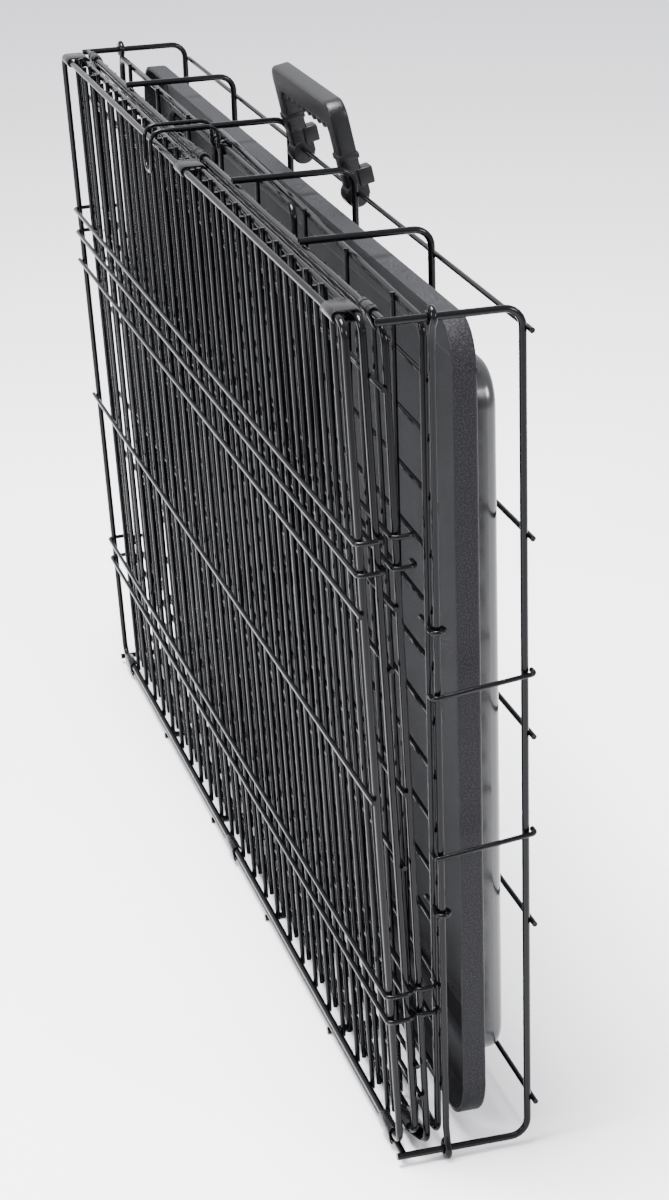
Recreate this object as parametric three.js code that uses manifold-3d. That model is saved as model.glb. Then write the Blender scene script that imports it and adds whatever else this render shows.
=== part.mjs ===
// Folding wire dog crate, packed flat and standing on its long edge as a suitcase.
//
// X runs along the crate's length, Y through the thickness of the folded pack (-Y is the
// outermost side panel, +Y the floor panel), and Z is up.  All sizes are in millimetres.
//
// The pack is a four-bar fold: floor - side 1 - top - side 2 - floor.  Seen along X its panels
// make a flat zigzag between four pivots: A on the floor's upper lip wire, B where side 1 meets
// the top, C where the top meets side 2, and D on the floor's lower lip wire.
import * as THREE from "three";
import { mergeVertices } from "three/addons/utils/BufferGeometryUtils.js";
import Module from "manifold-3d";

const wasm = await Module();
wasm.setup();

// ---- driving dimensions ------------------------------------------------------------------
const LENGTH = 914;               // between the axes of the end frames
const WIDTH = 584;                // between the axes of the two lip wires
const FRAME_R = 2.5;              // heavy wire radius
const CROSS_R = 1.9;              // thin wire radius
const BAR_SIDE = 3.2;             // side of the square that stands for a thin upright
const BEND_R = 10;                // centre-line radius of a frame corner
const CLEAR = 0.4;                // gap between wires that touch
const END_X = LENGTH / 2;

// Pivots, as points of the YZ plane.
const PIVOT_A = { y: 0, z: WIDTH };         // upper lip wire
const PIVOT_B = { y: 19.4, z: 0 };          // lower wire of side 1
const PIVOT_C = { y: -11, z: WIDTH };       // upper wire of the top panel
const PIVOT_D = { y: 0, z: 0 };             // lower lip wire

const WELD = 3.6;                 // axis of a frame wire to the axis of a wire welded across it
const SIDE_1_X = 448;             // end wires of the folding panels
const TOP_X = 448;
const SIDE_2_X = 452;
const SPACES = 24;                // gaps between the thin uprights of a folding panel
const PITCH = (2 * SIDE_1_X) / SPACES;

const FLOOR_Y = 88;               // plane of the floor's end frames and cross wires
const BAYS = 5;                   // bays between the floor's end frames
const BAY = LENGTH / BAYS;
const FLOOR_WIRE_Z = [27, 163, 299, 435, 570];
const FLOOR_WIRE_Y = FLOOR_Y + FRAME_R + CROSS_R + CLEAR;
const FLOOR_NUB = 5;              // how far the floor's long wires pass the end frames

const LOOP_Z = [444, 423, 123, 104];        // long side wires that hook round the end wires
const PLAIN_Z = [396, 267];                 // long side wires cut off past the end wires
const TOP_WIRE_Z = [540, 345, 205, 55];

const DOOR_X = 180;               // half length of the side door
const DOOR_Z = [56, 526];         // lower and upper wires of the side door
const DOOR_BOLT_Z = 313;

const END_BAR_Y = 30;             // the bar that an end panel swings on
const END_PANEL_X = 445;          // end panel's wire beside the bar
const END_PANEL_TIP_X = -144;     // and the wire along its free edge
const END_PANEL_Z = [5, 579];
const END_CROSS_X = [392, 280, 168, 56, -56];
const END_LOOP_Z = [380, 180];

const END_PANEL_Y = 28;
const END_PANEL_DIP = 11.5;       // the under panel's free edge lies this much further in

const TRAY = {
  halfX: 446, z: [5, 574], rimY: 46.5, stepY: 63, baseY: 83, stepX: 20, stepZ: 36, wall: 2.5,
};
const STOP_Z = [222, 335];        // arms of the pan stop where they leave the end bar
const STOP_RISE = 8;
const HOOK_R = 1.6;
const HOOK_EYE_X = [-82, -60];
const HOOK_TOP_Z = 596;
const HOOK_END_Y = -20;
const HANDLE = {
  feet: [-76, 74], footR: 8, arm: 17, thick: 14, grip: 68, ridges: 6,
  lean: THREE.MathUtils.degToRad(12),
};

const STEEL = { color: 0x1d2024, roughness: 0.35, metalness: 0.6 };
const PLASTIC = { color: 0x2b2d31, roughness: 0.6, metalness: 0 };

// ---- wire shapes -------------------------------------------------------------------------
const vec = (x, y, z) => new THREE.Vector3(x, y, z);

// A path that an extrusion follows station by station, mitred at each one.
class BentWire extends THREE.Curve {
  constructor(stations) {
    super();
    this.stations = stations;
    this.count = stations.length - 1;
  }

  getPoint(t, target = new THREE.Vector3()) {
    const place = t * this.count;
    const i = Math.min(Math.floor(place), this.count - 1);
    return target.copy(this.stations[i]).lerp(this.stations[i + 1], place - i);
  }

  getSpacedPoints() {
    return this.stations.map((p) => p.clone());
  }

  getTangentAt(u, target = new THREE.Vector3()) {
    const i = Math.round(u * this.count);
    const before = Math.max(i - 1, 0);
    const after = Math.min(i, this.count - 1);
    const leg = (k) => this.stations[k + 1].clone().sub(this.stations[k]).normalize();
    return target.copy(leg(before)).add(leg(after)).normalize();
  }
}

// Rounds each inner corner of a run of points with a short arc.
function roundCorners(points, radius, steps = 3) {
  const out = [points[0]];
  for (let i = 1; i < points.length - 1; i++) {
    const into = points[i].clone().sub(points[i - 1]).normalize();
    const away = points[i + 1].clone().sub(points[i]).normalize();
    const half = into.angleTo(away) / 2;
    if (half < 0.01) {
      continue;
    }
    const back = radius * Math.tan(half);
    const centre = points[i].clone().add(away.clone().sub(into).normalize()
      .multiplyScalar(radius / Math.cos(half)));
    const start = points[i].clone().addScaledVector(into, -back).sub(centre);
    const axis = into.clone().cross(away).normalize();
    for (let k = 0; k <= steps; k++) {
      out.push(start.clone().applyAxisAngle(axis, (2 * half * k) / steps).add(centre));
    }
  }
  out.push(points[points.length - 1]);
  return out;
}

function section(radius, sides) {
  const shape = new THREE.Shape();
  for (let k = 0; k < sides; k++) {
    const a = ((k + 0.5) / sides) * 2 * Math.PI;
    const x = radius * Math.cos(a);
    const y = radius * Math.sin(a);
    k ? shape.lineTo(x, y) : shape.moveTo(x, y);
  }
  return shape;
}

function wire(points, radius, bend = 0, sides = 6, steps = 3) {
  const stations = bend ? roundCorners(points, bend, steps) : points;
  return new THREE.ExtrudeGeometry(section(radius, sides), {
    steps: stations.length - 1,
    extrudePath: new BentWire(stations),
  });
}

const straight = (from, to, radius, sides = 6) => wire([from, to], radius, 0, sides);

function upright(x, y, z0, z1) {
  const g = new THREE.BoxGeometry(BAR_SIDE, BAR_SIDE, z1 - z0);
  return g.translate(x, y, (z0 + z1) / 2);
}

function ring(centre, normal, radius, tube) {
  const g = new THREE.TorusGeometry(radius, tube, 5, 10);
  const turn = new THREE.Quaternion().setFromUnitVectors(vec(0, 0, 1), normal.normalize());
  return g.applyQuaternion(turn).translate(centre.x, centre.y, centre.z);
}

// ---- joining -----------------------------------------------------------------------------
const SLIVER = 0.004;             // edges shorter than this are closed up

function toSolid(geometry) {
  const plain = geometry.clone();
  plain.deleteAttribute("normal");
  plain.deleteAttribute("uv");
  const g = mergeVertices(plain, 1e-4);
  return new wasm.Manifold(new wasm.Mesh({
    numProp: 3,
    vertProperties: Float32Array.from(g.attributes.position.array),
    triVerts: Uint32Array.from(g.index.array),
  }));
}

function fromSolid(solid) {
  const m = solid.getMesh();
  const g = new THREE.BufferGeometry();
  g.setAttribute("position", new THREE.BufferAttribute(m.vertProperties, 3));
  g.setIndex(new THREE.BufferAttribute(m.triVerts, 1));
  g.computeVertexNormals();
  return g;
}

function join(parts) {
  return fromSolid(parts.map(toSolid).reduce((all, next) => all.add(next)).simplify(SLIVER));
}

function cut(body, tools) {
  return fromSolid(tools.map(toSolid).reduce((rest, tool) => rest.subtract(tool), toSolid(body)));
}

const crate = new THREE.Group();

function add(name, geometry, finish = STEEL, parent = crate) {
  const mesh = new THREE.Mesh(geometry, new THREE.MeshStandardMaterial(finish));
  mesh.name = name;
  parent.add(mesh);
  return mesh;
}

// ---- folding panels: side 1, top and side 2 --------------------------------------------------
// Each is drawn flat in its own group: local Z runs up the panel from its lower wire, local Y is
// through it, and `out` is the side (+1 or -1 in local Y) that its long wires lie on.
function frameLoop(x0, x1, z0, z1, radius = FRAME_R, y = 0) {
  const middle = (x0 + x1) / 2;
  return [[middle - 1, x1], [middle + 1, x0]].map(([start, end]) => wire([
    vec(start, y, z0), vec(end, y, z0), vec(end, y, z1), vec(start, y, z1),
  ], radius, BEND_R, 6, 2));
}

const uprightX = Array.from({ length: SPACES - 1 }, (_, i) => -SIDE_1_X + (i + 1) * PITCH);

function uprights(xs, out, z0, z1) {
  return xs.map((x) => upright(x, -out * WELD, z0, z1));
}

// Half of a long wire: its outer end hooks round the end wire.
function hookedHalf(z, out, side, innerX, endX, hook) {
  const turnX = endX + FRAME_R + CROSS_R + 0.8;
  return wire([
    vec(side * innerX, out * WELD, z), vec(side * turnX, out * WELD, z),
    vec(side * turnX, out * (WELD - hook), z),
  ], CROSS_R, 2.6, 4, 1);
}

function longWire(z, out, x0, x1) {
  return straight(vec(x0, out * WELD, z), vec(x1, out * WELD, z), CROSS_R, 5);
}

// Places a panel whose lower and upper wires lie at two points of the YZ plane.
function stand(lower, upper) {
  const group = new THREE.Group();
  group.position.set(0, lower.y, lower.z);
  group.rotation.x = Math.atan2(lower.y - upper.y, upper.z - lower.z);
  crate.add(group);
  return { group, height: Math.hypot(upper.y - lower.y, upper.z - lower.z) };
}

const SIDE_1 = { lower: PIVOT_B, upper: { y: PIVOT_A.y + 3, z: PIVOT_A.z - 7 } };
const TOP = { lower: { y: PIVOT_B.y - 8.4, z: PIVOT_B.z + 8.8 }, upper: PIVOT_C };
const SIDE_2 = {
  lower: { y: PIVOT_D.y - 1, z: PIVOT_D.z + 6.5 },
  upper: { y: PIVOT_C.y - 12, z: PIVOT_C.z },
};
const NUB = FRAME_R + 0.5;

// Side 1, with a door let into the middle of it.
{
  const { group, height } = stand(SIDE_1.lower, SIDE_1.upper);
  const full = uprightX.filter((x) => Math.abs(x) > DOOR_X);
  const inner = uprightX.filter((x) => Math.abs(x) < DOOR_X);
  const [doorLow, doorHigh] = DOOR_Z;
  const sill = doorLow - 16;
  const head = doorHigh + 14;
  add("side_panel_1", join([
    ...frameLoop(-SIDE_1_X, SIDE_1_X, 0, height),
    ...uprights(full, -1, -NUB, height + NUB),
    ...uprights(inner, -1, -NUB, sill + 6),
    ...uprights(inner, -1, head - 6, height + NUB),
    ...[sill, head].map((z) => longWire(z, -1, -SIDE_1_X - 5, SIDE_1_X + 5)),
    ...[-1, 1].flatMap((side) => [
      ...LOOP_Z.map((z) => hookedHalf(z, -1, side, DOOR_X + 4, SIDE_1_X, 8)),
      ...PLAIN_Z.map((z) => longWire(z, -1, side * (DOOR_X + 4), side * (SIDE_1_X + 5))),
    ]),
  ]), STEEL, group);

  add("side_door", join([
    ...frameLoop(-DOOR_X, DOOR_X, doorLow, doorHigh),
    ...uprights(inner, -1, doorLow - NUB, doorHigh + NUB),
    ...[...LOOP_Z, ...PLAIN_Z].map((z) => longWire(z, -1, -DOOR_X - 2, DOOR_X + 2)),
  ]), STEEL, group);

  const boltY = -WELD - 1;
  add("side_door_bolt", wire([
    vec(DOOR_X - 42, boltY, DOOR_BOLT_Z), vec(DOOR_X + 18, boltY, DOOR_BOLT_Z),
    vec(DOOR_X + 18, boltY, DOOR_BOLT_Z + 26), vec(DOOR_X + 2, boltY, DOOR_BOLT_Z + 26),
  ], CROSS_R - 0.2, 6), STEEL, group);
}

// Top panel.
{
  const { group, height } = stand(TOP.lower, TOP.upper);
  add("top_panel", join([
    ...frameLoop(-TOP_X, TOP_X, 0, height),
    ...uprights(uprightX, 1, -FRAME_R, height + 4),
    ...TOP_WIRE_Z.map((z) => longWire(z, 1, -TOP_X - 4, TOP_X + 4)),
  ]), STEEL, group);
}

// Side 2, the outermost panel of the pack.
{
  const { group, height } = stand(SIDE_2.lower, SIDE_2.upper);
  add("side_panel_2", join([
    ...frameLoop(-SIDE_2_X, SIDE_2_X, 0, height),
    ...uprights(uprightX, -1, -NUB, height + NUB),
    ...[-1, 1].flatMap((side) => LOOP_Z
      .map((z) => hookedHalf(z - SIDE_2.lower.z, -1, side, -1, SIDE_2_X, 14))),
    ...PLAIN_Z.map((z) => longWire(z - SIDE_2.lower.z, -1, -SIDE_2_X - 6, SIDE_2_X + 6)),
  ]), STEEL, group);
}

// ---- hinge clips ---------------------------------------------------------------------------
// A sheet-metal sleeve wrapped round two parallel wires.  Its inner outline is a slot that
// clears both wires, and its outer one is a sheet's thickness larger.
const SHEET = 1.2;
const SLEEVE_R = FRAME_R + CLEAR;
const CLIP_LENGTH = 24;
const CLIP_X = { near: 425, far: -425 };
const MIDDLE_SHIFT = PITCH / 2;

function slotOutline(a, b, radius, Kind = THREE.Shape) {
  const along = Math.atan2(b.z - a.z, b.y - a.y);
  const shape = new Kind();
  shape.absarc(a.y, a.z, radius, along + Math.PI / 2, along + 1.5 * Math.PI, false);
  shape.absarc(b.y, b.z, radius, along - Math.PI / 2, along + Math.PI / 2, false);
  shape.closePath();
  return shape;
}

// Turns an outline drawn in (Y, Z) into a solid that runs from x0 to x1.
function alongX(shape, x0, x1, curveSegments = 4) {
  const depth = x1 - x0;
  const g = new THREE.ExtrudeGeometry(shape, { depth, bevelEnabled: false, curveSegments });
  const axes = new THREE.Matrix4().makeBasis(vec(0, 1, 0), vec(0, 0, 1), vec(1, 0, 0));
  return g.applyMatrix4(axes).translate(x0, 0, 0);
}

function sleeve(a, b, x) {
  const shape = slotOutline(a, b, SLEEVE_R + SHEET);
  shape.holes.push(slotOutline(a, b, SLEEVE_R, THREE.Path));
  return alongX(shape, x - CLIP_LENGTH / 2, x + CLIP_LENGTH / 2);
}

// The lower clips hold side 2's wire and lie against one side of the lip wire.
function openClip(x) {
  const closed = sleeve(SIDE_2.lower, PIVOT_D, x);
  const mouth = new THREE.BoxGeometry(CLIP_LENGTH + 2, 12, 12);
  return cut(closed, [mouth.translate(x, PIVOT_D.y + 4.8, PIVOT_D.z - 3.2)]);
}

function addClips(name, shape, shift) {
  add(`${name}_near`, shape(CLIP_X.near));
  add(`${name}_middle`, shape(shift));
  add(`${name}_far`, shape(CLIP_X.far));
}

addClips("side_1_lip_clip", (x) => sleeve(PIVOT_A, SIDE_1.upper, x), -MIDDLE_SHIFT);
addClips("side_1_top_clip", (x) => sleeve(SIDE_1.lower, TOP.lower, x), MIDDLE_SHIFT);
addClips("side_2_top_clip", (x) => sleeve(TOP.upper, SIDE_2.upper, x), MIDDLE_SHIFT);
addClips("side_2_lip_clip", openClip, -MIDDLE_SHIFT);

// ---- floor ---------------------------------------------------------------------------------
const lipLength = END_X - FRAME_R - CLEAR;
for (const [name, pivot] of [["upper", PIVOT_A], ["lower", PIVOT_D]]) {
  add(`lip_wire_${name}`, straight(
    vec(-lipLength, pivot.y, pivot.z), vec(lipLength, pivot.y, pivot.z), FRAME_R));
}

// A wire that runs up one flank of the floor, over its flat and back down the other flank.
function trough(x, y0, z0, z1) {
  return wire([
    vec(x, y0, z0), vec(x, FLOOR_Y, z0), vec(x, FLOOR_Y, z1), vec(x, y0, z1),
  ], FRAME_R, BEND_R + 2);
}

add("end_frame_near", trough(END_X, -4, 0, WIDTH));
add("end_frame_far", trough(-END_X, -4, 0, WIDTH));
const SADDLE = 2 * FRAME_R + CLEAR;         // cross wires sit on top of the lip wires
for (let i = 1; i < BAYS; i++) {
  add(`floor_cross_wire_${i}`, trough(END_X - i * BAY, -3, -SADDLE, WIDTH + SADDLE));
}
FLOOR_WIRE_Z.forEach((z, i) => add(`floor_long_wire_${i + 1}`, straight(
  vec(-END_X - FLOOR_NUB, FLOOR_WIRE_Y, z), vec(END_X + FLOOR_NUB, FLOOR_WIRE_Y, z), CROSS_R, 8)));

// ---- end bars and end panels ---------------------------------------------------------------
const EYE_R = 5.4;

function endBar(side) {
  const x = side * END_X;
  return join([
    straight(vec(x, END_BAR_Y, EYE_R - 1), vec(x, END_BAR_Y, WIDTH - EYE_R + 1), FRAME_R),
    ...[0, WIDTH].map((z) => ring(vec(x, END_BAR_Y, z), vec(0, 1, 0), EYE_R, FRAME_R)),
  ]);
}

add("end_bar_near", endBar(1));
add("end_bar_far", endBar(-1));

// An end panel is drawn flat about the wire next to its bar, and swung by `tilt` about that wire.
function endPanel(side, crossX, tilt) {
  const [z0, z1] = END_PANEL_Z;
  const rows = 15;
  const length = END_PANEL_X - END_PANEL_TIP_X;
  const parts = frameLoop(0, -side * length, z0, z1);
  for (let i = 1; i < rows; i++) {
    const z = z0 + (i * (z1 - z0)) / rows;
    const bar = new THREE.BoxGeometry(length + 2 * NUB, BAR_SIDE, BAR_SIDE);
    parts.push(bar.translate((-side * length) / 2, WELD, z));
  }
  for (const x of crossX) {
    const at = side * (x - END_PANEL_X);
    parts.push(straight(vec(at, -WELD, z0 - 4), vec(at, -WELD, z1 + 4), CROSS_R, 5));
  }
  const loopR = FRAME_R + CROSS_R + CLEAR;
  const toBar = vec(side * (END_X - END_PANEL_X), END_BAR_Y - END_PANEL_Y, 0)
    .applyAxisAngle(vec(0, 0, 1), -tilt);
  for (const z of END_LOOP_Z) {
    parts.push(ring(vec(toBar.x, toBar.y, z), vec(0, 0, 1), loopR, CROSS_R));
    parts.push(straight(
      vec(-side * 12, toBar.y, z), vec(toBar.x - side * (loopR - 1), toBar.y, z), CROSS_R));
  }
  return join(parts);
}

function addEndPanel(name, side, crossX, tilt) {
  const group = new THREE.Group();
  group.position.set(side * END_PANEL_X, END_PANEL_Y, 0);
  group.rotation.z = tilt;
  crate.add(group);
  add(name, endPanel(side, crossX, tilt), STEEL, group);
}

const underTilt = Math.atan2(END_PANEL_DIP, END_PANEL_X - END_PANEL_TIP_X);
addEndPanel("end_panel_far", -1, END_CROSS_X, 0);
addEndPanel("end_panel_near", 1, END_CROSS_X.filter((x) => x > -END_PANEL_TIP_X), -underTilt);

// ---- tray ----------------------------------------------------------------------------------
function roundedSlab(halfX, z0, z1, y0, y1, corner) {
  const h = z1 - z0;
  const shape = new THREE.Shape();
  shape.moveTo(-halfX + corner, 0);
  shape.lineTo(halfX - corner, 0);
  shape.absarc(halfX - corner, corner, corner, -Math.PI / 2, 0, false);
  shape.absarc(halfX - corner, h - corner, corner, 0, Math.PI / 2, false);
  shape.absarc(-halfX + corner, h - corner, corner, Math.PI / 2, Math.PI, false);
  shape.absarc(-halfX + corner, corner, corner, Math.PI, 1.5 * Math.PI, false);
  const g = new THREE.ExtrudeGeometry(shape, { depth: y1 - y0, bevelEnabled: false,
    curveSegments: 4 });
  return g.rotateX(Math.PI / 2).translate(0, y1, z0);
}

// One level of the tray: inset from the rim's outline, between two depths.
function trayLevel(insetX, insetZ, y0, y1, corner) {
  const [low, high] = TRAY.z;
  return roundedSlab(TRAY.halfX - insetX, low + insetZ, high - insetZ, y0, y1, corner);
}

{
  const { wall, stepX, stepZ, rimY, stepY, baseY } = TRAY;
  add("tray", cut(
    join([
      trayLevel(0, 0, rimY, stepY, 24),
      trayLevel(stepX, stepZ, stepY - 4, baseY, 30),
    ]),
    [
      trayLevel(wall, wall, rimY - 5, stepY - wall, 21.5),
      trayLevel(stepX + wall, stepZ + wall, rimY - 5, baseY - wall, 27.5),
    ],
  ), PLASTIC);
}

// ---- pan stop ------------------------------------------------------------------------------
// A bent wire gate that swings on the near end bar and hooks over the floor's end wire.
{
  const turn = CROSS_R + FRAME_R + 0.5;
  const group = new THREE.Group();
  group.position.set(END_X, END_BAR_Y, 0);
  crate.add(group);
  const tip = FLOOR_Y - END_BAR_Y + turn + 0.4;
  add("pan_stop", wire([
    vec(-2, tip, STOP_Z[0] + STOP_RISE), vec(turn, tip, STOP_Z[0] + STOP_RISE),
    vec(turn, -turn, STOP_Z[0]), vec(-turn + 0.8, -turn, STOP_Z[0]),
    vec(-turn + 0.8, -turn, STOP_Z[1]), vec(turn, -turn, STOP_Z[1]),
    vec(turn, tip, STOP_Z[1] + STOP_RISE), vec(-2, tip, STOP_Z[1] + STOP_RISE),
  ], CROSS_R, 2.4, 6, 2), STEEL, group);
}

// ---- closure hook --------------------------------------------------------------------------
// A wire bail on the end panel's upper side wire that reaches over the folded panels' edges.
{
  const group = new THREE.Group();
  group.position.set(0, END_PANEL_Y, END_PANEL_Z[1]);
  crate.add(group);
  const eye = FRAME_R + HOOK_R + CLEAR;
  const top = HOOK_TOP_Z - END_PANEL_Z[1];
  const reach = HOOK_END_Y - END_PANEL_Y;
  add("closure_hook", join([
    ...HOOK_EYE_X.map((x) => ring(vec(x, 0, 0), vec(1, 0, 0), eye, HOOK_R)),
    wire([
      vec(HOOK_EYE_X[0], -eye, 1), vec(HOOK_EYE_X[0], -eye, top), vec(HOOK_EYE_X[0], reach, top),
      vec(HOOK_EYE_X[1], reach, top), vec(HOOK_EYE_X[1], -eye, top), vec(HOOK_EYE_X[1], -eye, 1),
    ], HOOK_R, 3, 5, 2),
  ]), STEEL, group);
}

// ---- carrying handle -----------------------------------------------------------------------
// Drawn upright about the wire that it turns on, then leant over towards the panels.
function disc(x, radius, width) {
  const g = new THREE.CylinderGeometry(radius, radius, width, 16);
  return g.rotateZ(Math.PI / 2).translate(x, 0, 0);
}

function handleBody() {
  const { feet, arm, thick, grip, ridges } = HANDLE;
  const [left, right] = [feet[0] - arm / 2, feet[1] + arm / 2];
  const [inLeft, inRight] = [left + arm, right - arm];
  const under = grip - 21;
  const outline = new THREE.Shape();
  outline.moveTo(left, 0);
  outline.lineTo(inLeft, 0);
  outline.lineTo(inLeft, under - 12);
  for (let k = 0; k <= ridges * 2; k++) {
    const x = inLeft + 10 + (k * (inRight - inLeft - 20)) / (ridges * 2);
    outline.lineTo(x, under + (k % 2 ? -4 : 0));
  }
  outline.lineTo(inRight, under - 12);
  outline.lineTo(inRight, 0);
  outline.lineTo(right, 0);
  outline.lineTo(right, grip - 16);
  outline.lineTo(right - 5, grip - 4);
  outline.lineTo(right - 13, grip);
  outline.lineTo(left + 13, grip);
  outline.lineTo(left + 5, grip - 4);
  outline.lineTo(left, grip - 16);
  const g = new THREE.ExtrudeGeometry(outline, { depth: thick, bevelEnabled: false });
  g.rotateX(Math.PI / 2).translate(0, thick / 2, 0);
  const barrels = feet.map((x) => disc(x, HANDLE.footR, arm + 2));
  const tabs = feet.map((x) => new THREE.BoxGeometry(13, 12, 12).translate(x + 4, 8, 9));
  const bore = disc(0, CROSS_R + CLEAR, right - left + 20);
  return cut(join([g, ...barrels, ...tabs]), [bore]);
}

{
  const group = new THREE.Group();
  group.position.set(0, FLOOR_WIRE_Y, FLOOR_WIRE_Z[FLOOR_WIRE_Z.length - 1]);
  group.rotation.x = HANDLE.lean;
  crate.add(group);
  add("carry_handle", handleBody(), PLASTIC, group);
}

// ---- origin at the bottom centre of the pack -------------------------------------------------
crate.updateMatrixWorld(true);
const extent = new THREE.Box3().setFromObject(crate, true);
crate.position.set(
  -(extent.min.x + extent.max.x) / 2, -(extent.min.y + extent.max.y) / 2, -extent.min.z);

export default crate;
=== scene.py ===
import math

import bpy
from mathutils import Matrix, Vector


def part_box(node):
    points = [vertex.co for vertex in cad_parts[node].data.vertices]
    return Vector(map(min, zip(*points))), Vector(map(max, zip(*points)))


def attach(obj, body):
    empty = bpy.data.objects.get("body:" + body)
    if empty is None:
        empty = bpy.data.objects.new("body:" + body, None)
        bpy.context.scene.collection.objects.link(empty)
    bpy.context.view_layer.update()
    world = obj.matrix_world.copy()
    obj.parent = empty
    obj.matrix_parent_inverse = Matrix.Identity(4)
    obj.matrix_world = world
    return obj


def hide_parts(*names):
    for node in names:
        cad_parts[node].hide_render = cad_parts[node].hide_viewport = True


bl_info = {
    "name": "Folding Wire Dog Crate",
    "version": (1, 0, 0),
    "blender": (4, 5, 0),
    "location": "View3D > Sidebar > Crate",
    "description": "Builds a folded wire dog crate with its tray and carrying handle",
    "category": "Object",
}

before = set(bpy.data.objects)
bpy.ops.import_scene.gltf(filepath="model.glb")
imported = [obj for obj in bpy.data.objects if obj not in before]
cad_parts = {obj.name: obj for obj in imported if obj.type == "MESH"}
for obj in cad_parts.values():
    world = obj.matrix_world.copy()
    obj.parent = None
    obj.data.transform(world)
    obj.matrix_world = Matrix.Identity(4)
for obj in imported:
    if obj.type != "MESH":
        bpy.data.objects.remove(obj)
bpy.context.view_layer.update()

MM = 0.001
BOTH = (-1, 1)


def middle_of(node):
    low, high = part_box(node)
    return (low + high) / 2


# Places are in millimetres from the middle of the lower lip wire.
LIP = middle_of("lip_wire_lower")
WIDTH = (middle_of("lip_wire_upper").z - LIP.z) / MM
LENGTH = (middle_of("end_bar_near").x - middle_of("end_bar_far").x) / MM
END_X = LENGTH / 2
FLOOR_WIRE_Y = (middle_of("floor_long_wire_5").y - LIP.y) / MM
FLOOR_TOP_Z = (middle_of("floor_long_wire_5").z - LIP.z) / MM


def at(x, y, z):
    return Vector((LIP.x + x * MM, LIP.y + y * MM, LIP.z + z * MM))


# ---- sizes and colours -------------------------------------------------------------------


def length(name, text, default):
    return bpy.props.FloatProperty(
        name=name, description=text, default=default * MM, unit="LENGTH", precision=4
    )


def colour(name, text, default):
    return bpy.props.FloatVectorProperty(
        name=name, description=text, default=default, subtype="COLOR", size=4, min=0, max=1
    )


class CrateWires(bpy.types.PropertyGroup):
    frame_radius: length("Frame wire", "Radius of the heavy frame wire", 2.5)
    thin_radius: length("Thin wire", "Radius of the wires welded across the frames", 1.75)
    hook_radius: length("Hook wire", "Radius of the closure hook's wire", 1.6)
    corner: length("Corner", "Bend radius of a frame's corner", 10)
    clearance: length("Clearance", "Gap between wires that touch", 0.4)


class CrateSheet(bpy.types.PropertyGroup):
    thickness: length("Clip sheet", "Sheet thickness of the hinge clips", 1.2)
    clip_length: length("Clip length", "Length of a hinge clip along its wires", 24)
    tray_wall: length("Tray wall", "Wall thickness of the plastic tray", 2.5)


class CrateColours(bpy.types.PropertyGroup):
    wire: colour("Wire", "Coating of the wires", (0.002, 0.002, 0.0025, 1))
    sheet: colour("Clips", "Coating of the hinge clips", (0.004, 0.004, 0.0045, 1))
    tray: colour("Tray", "Plastic of the tray", (0.006, 0.006, 0.007, 1))
    # The grain-top colour is a painted highlight: it paints the tops of the tray's grain lighter,
    # where the top light would catch them.
    tray_grain_highlight: colour("Tray grain highlight", "Painted highlight on the tops of the tray's grain", (0.02, 0.02, 0.023, 1))
    handle: colour("Handle", "Plastic of the carrying handle", (0.004, 0.004, 0.0045, 1))


def wires():
    return bpy.context.scene.crate_wires


def sheet():
    return bpy.context.scene.crate_sheet


def colours():
    return bpy.context.scene.crate_colours


# ---- materials ---------------------------------------------------------------------------


def uneven_coating_group():
    """Faint unevenness of a dipped coating: a roughness and a normal that vary."""
    name = "Uneven coating"
    group = bpy.data.node_groups.get(name)
    if group:
        return group
    group = bpy.data.node_groups.new(name, "ShaderNodeTree")
    face = group.interface
    for label, default in (("Grain size", 400.0), ("Depth", 0.1), ("Low", 0.2), ("High", 0.3)):
        socket = face.new_socket(label, in_out="INPUT", socket_type="NodeSocketFloat")
        socket.default_value = default
    face.new_socket("Roughness", in_out="OUTPUT", socket_type="NodeSocketFloat")
    face.new_socket("Normal", in_out="OUTPUT", socket_type="NodeSocketVector")
    face.new_socket("Highlight peaks", in_out="OUTPUT", socket_type="NodeSocketFloat")
    nodes, links = group.nodes, group.links
    given = nodes.new("NodeGroupInput")
    result = nodes.new("NodeGroupOutput")
    place = nodes.new("ShaderNodeTexCoord")
    noise = nodes.new("ShaderNodeTexNoise")
    noise.inputs["Detail"].default_value = 4
    links.new(place.outputs["Object"], noise.inputs["Vector"])
    links.new(given.outputs["Grain size"], noise.inputs["Scale"])
    spread = nodes.new("ShaderNodeMapRange")
    spread.inputs["From Min"].default_value = 0.3
    spread.inputs["From Max"].default_value = 0.7
    links.new(noise.outputs["Fac"], spread.inputs["Value"])
    links.new(given.outputs["Low"], spread.inputs["To Min"])
    links.new(given.outputs["High"], spread.inputs["To Max"])
    # Mask of the grain's tops; the grained tray uses it to paint a lighter colour there as a
    # painted highlight.
    highlight_peaks = nodes.new("ShaderNodeMapRange")
    highlight_peaks.inputs["From Min"].default_value = 0.48
    highlight_peaks.inputs["From Max"].default_value = 0.62
    links.new(noise.outputs["Fac"], highlight_peaks.inputs["Value"])
    bump = nodes.new("ShaderNodeBump")
    bump.inputs["Distance"].default_value = 0.0006
    links.new(given.outputs["Depth"], bump.inputs["Strength"])
    links.new(noise.outputs["Fac"], bump.inputs["Height"])
    links.new(spread.outputs["Result"], result.inputs["Roughness"])
    links.new(bump.outputs["Normal"], result.inputs["Normal"])
    links.new(highlight_peaks.outputs["Result"], result.inputs["Highlight peaks"])
    return group


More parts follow.
